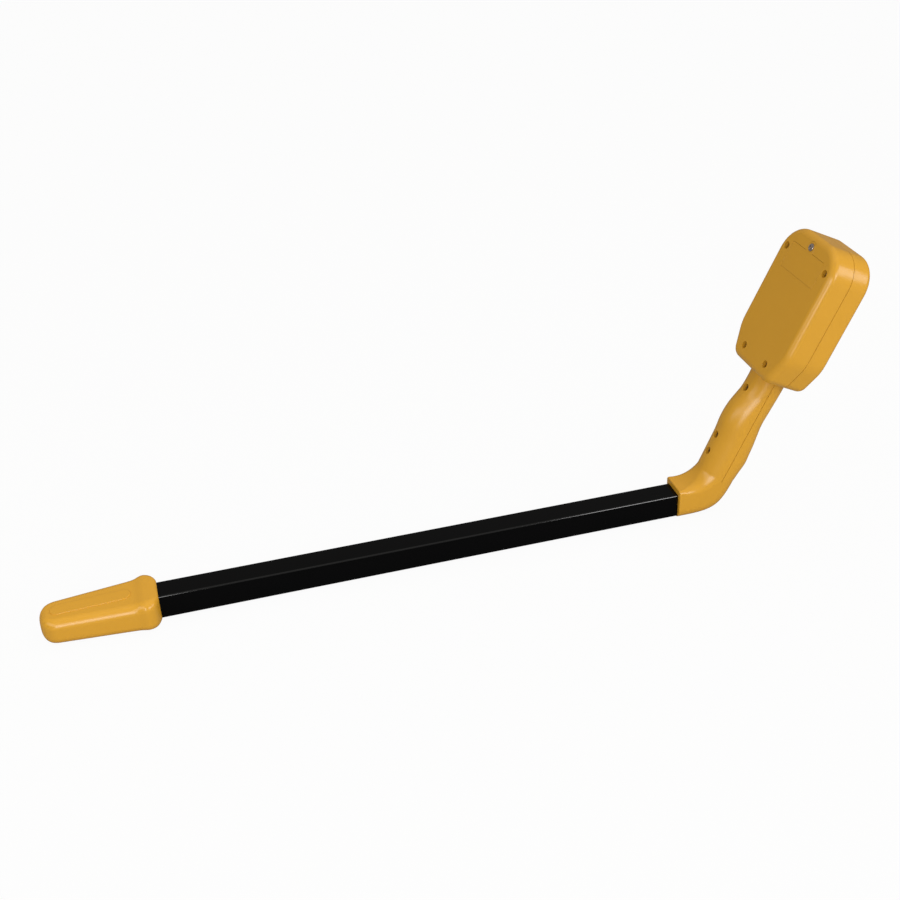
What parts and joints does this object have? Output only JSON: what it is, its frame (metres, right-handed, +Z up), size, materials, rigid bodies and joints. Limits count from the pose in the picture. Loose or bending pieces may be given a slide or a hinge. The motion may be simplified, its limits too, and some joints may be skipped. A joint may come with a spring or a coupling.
{
  "type": "cable locator",
  "caption": "Hand-held cable locator: receiver head with battery door, knob and buttons on a bent pistol handle, with a square wand tube ending in a sensing boot.",
  "frame": {"origin": "on the table under the middle of the locator's whole span along the wand", "axes": "+X along the tube from the boot to the handle, +Z up from the table, +Y to the left of the handle"},
  "size_m": [0.8207, 0.0994, 0.2849],
  "materials": {
    "yellow_plastic": "moulded ABS with a soft gloss",
    "black_tube": "high gloss extruded tube",
    "steel": "plated steel",
    "bright_steel": "bright nickel plating",
    "brass": "machined brass",
    "copper": "enamelled copper wire",
    "foam": "closed-cell foam",
    "battery_can": "plain printed steel can",
    "black_plastic": "fine matt texture",
    "grey_rubber": "silicone key",
    "panel_film": "satin polycarbonate film",
    "clear_lens": "clear acrylic",
    "display": "liquid crystal display",
    "board": "solder mask over glass fibre",
    "ivory_plastic": "natural nylon",
    "cone_paper": "coated paper cone",
    "magnet": "ferrite magnet and steel pot",
    "ferrite": "sintered ferrite",
    "red_lead": "PVC insulation",
    "blue_lead": "PVC insulation",
    "black_lead": "screened cable jacket"
  },
  "bodies": {
    "casing": {"rear_shell": "yellow_plastic", "front_shell": "yellow_plastic", "case_screws": "steel", "handle_screws": "steel", "door_insert": "brass", "battery": "battery_can", "battery_snap": "black_plastic", "battery_leads": "red_lead", "circuit_board": "board", "board_screws": "steel", "board_parts": "black_plastic", "lead_plug": "ivory_plastic", "display_module": "display", "display_lens": "clear_lens", "panel_overlay": "panel_film", "speaker_frame": "steel", "speaker_cone": "cone_paper", "speaker_magnet": "magnet", "speaker_leads": "blue_lead", "volume_pot": "steel", "pot_nut": "steel", "button_switches": "black_plastic", "wand_tube": "black_tube", "tube_pin": "steel", "boot": "yellow_plastic", "coil_former": "ivory_plastic", "antenna_coil": "copper", "ferrite_rod": "ferrite", "antenna_lead": "black_lead"},
    "door": {"battery_door": "yellow_plastic", "door_pad": "foam"},
    "latch": {"door_screw": "bright_steel"},
    "knob": {"volume_knob": "black_plastic", "volume_shaft": "steel"},
    "up_button": {"gain_up_button": "grey_rubber"},
    "down_button": {"gain_down_button": "grey_rubber"}
  },
  "joints": [
    {"name": "door_hinge", "type": "hinge", "parent": "casing", "child": "door", "pos_m": [0.35158, 0, 0.24802], "axis": [0, -1, 0], "range_deg": [0, 90]},
    {"name": "door_screw_turn", "type": "hinge", "parent": "door", "child": "latch", "pos_m": [0.36422, 0, 0.27668], "axis": [-0.8988, 0, 0.4384], "continuous": true},
    {"name": "volume_turn", "type": "hinge", "parent": "casing", "child": "knob", "pos_m": [0.37897, 0, 0.19698], "axis": [-0.8988, 0, 0.4384], "range_deg": [-150, 150]},
    {"name": "gain_up_press", "type": "slide", "parent": "casing", "child": "up_button", "axis": [-0.8988, 0, 0.4384], "range_m": [0, 0.0008], "stiffness_N_per_m": 1500, "springref_m": -0.001},
    {"name": "gain_down_press", "type": "slide", "parent": "casing", "child": "down_button", "axis": [-0.8988, 0, 0.4384], "range_m": [0, 0.0008], "stiffness_N_per_m": 1500, "springref_m": -0.001}
  ]
}
